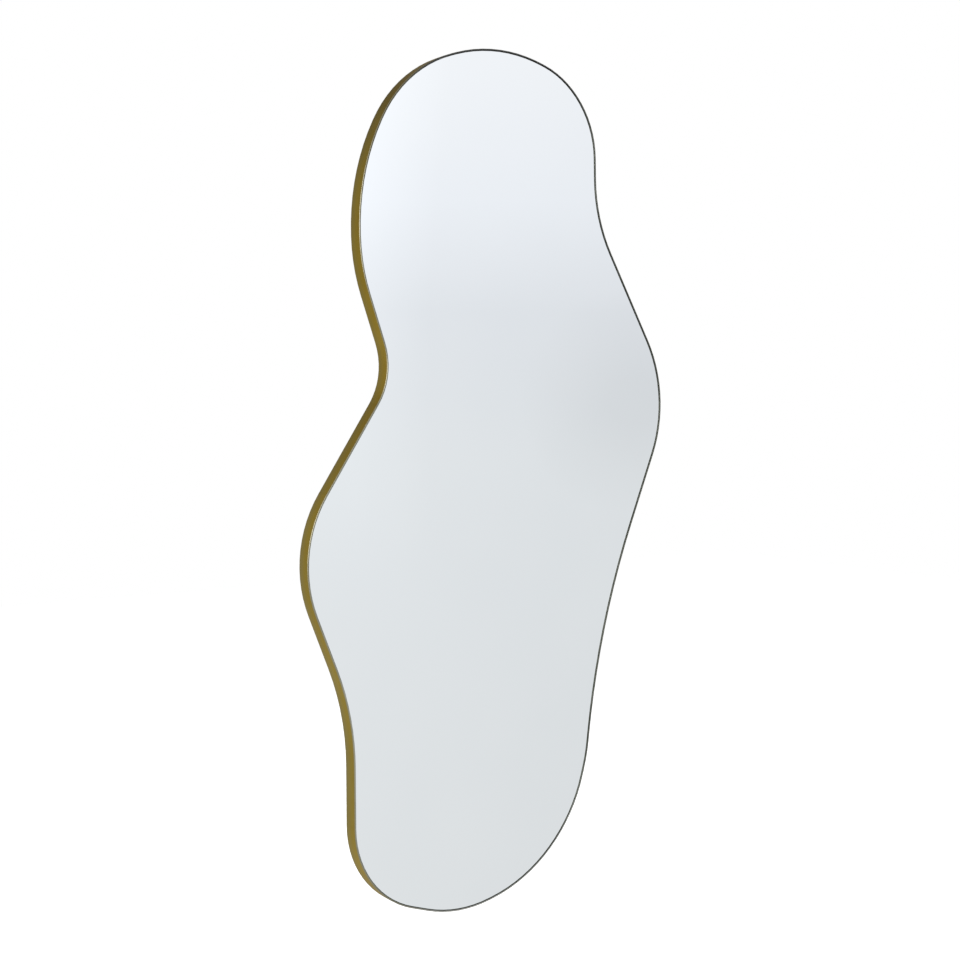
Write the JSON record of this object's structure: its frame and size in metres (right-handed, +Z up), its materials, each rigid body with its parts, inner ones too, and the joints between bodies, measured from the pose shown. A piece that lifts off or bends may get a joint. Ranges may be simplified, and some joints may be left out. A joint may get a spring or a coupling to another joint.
{
  "type": "wall mirror",
  "caption": "Tall wall mirror with a flowing, irregular outline in a thin brass-coloured metal band, hung from two D-rings on its backing board.",
  "frame": {"origin": "on the wall plane, midway between the two wall hooks that hold the raised rings, straight above the balance point of the outline", "axes": "+Z up, +X to the right seen from the front, +Y towards the wall, so the glass faces -Y"},
  "size_m": [0.5994, 0.0245, 1.1995],
  "materials": {
    "antique_brass": "brushed antique brass",
    "silvered_glass": "polished silvered glass",
    "foam_tape": "foam",
    "painted_board": "black painted fibreboard",
    "plated_steel": "nickel plated",
    "plated_wire": "nickel plated",
    "clear_rubber": "translucent"
  },
  "bodies": {
    "mirror": {"rim_band": "antique_brass", "mirror_glass": "silvered_glass", "tape_strip_1": "foam_tape", "tape_strip_2": "foam_tape", "tape_strip_3": "foam_tape", "tape_strip_4": "foam_tape", "tape_strip_5": "foam_tape", "backing_board": "painted_board", "mounting_lug_01": "antique_brass", "mounting_lug_02": "antique_brass", "mounting_lug_03": "antique_brass", "mounting_lug_04": "antique_brass", "mounting_lug_05": "antique_brass", "mounting_lug_06": "antique_brass", "board_screws": "plated_steel", "hanger_strap_left": "plated_steel", "hanger_strap_right": "plated_steel", "hanger_screws": "plated_steel", "wall_bumpers": "clear_rubber"},
    "ring_left": {"hanger_ring_left": "plated_wire"},
    "ring_right": {"hanger_ring_right": "plated_wire"}
  },
  "joints": [
    {"name": "ring_left_swing", "type": "hinge", "parent": "mirror", "child": "ring_left", "pos_m": [-0.12, -0.0057, -0.0175], "axis": [1, 0, 0], "range_deg": [0, 178]},
    {"name": "ring_right_swing", "type": "hinge", "parent": "mirror", "child": "ring_right", "pos_m": [0.12, -0.0057, -0.0175], "axis": [1, 0, 0], "range_deg": [0, 178]}
  ]
}
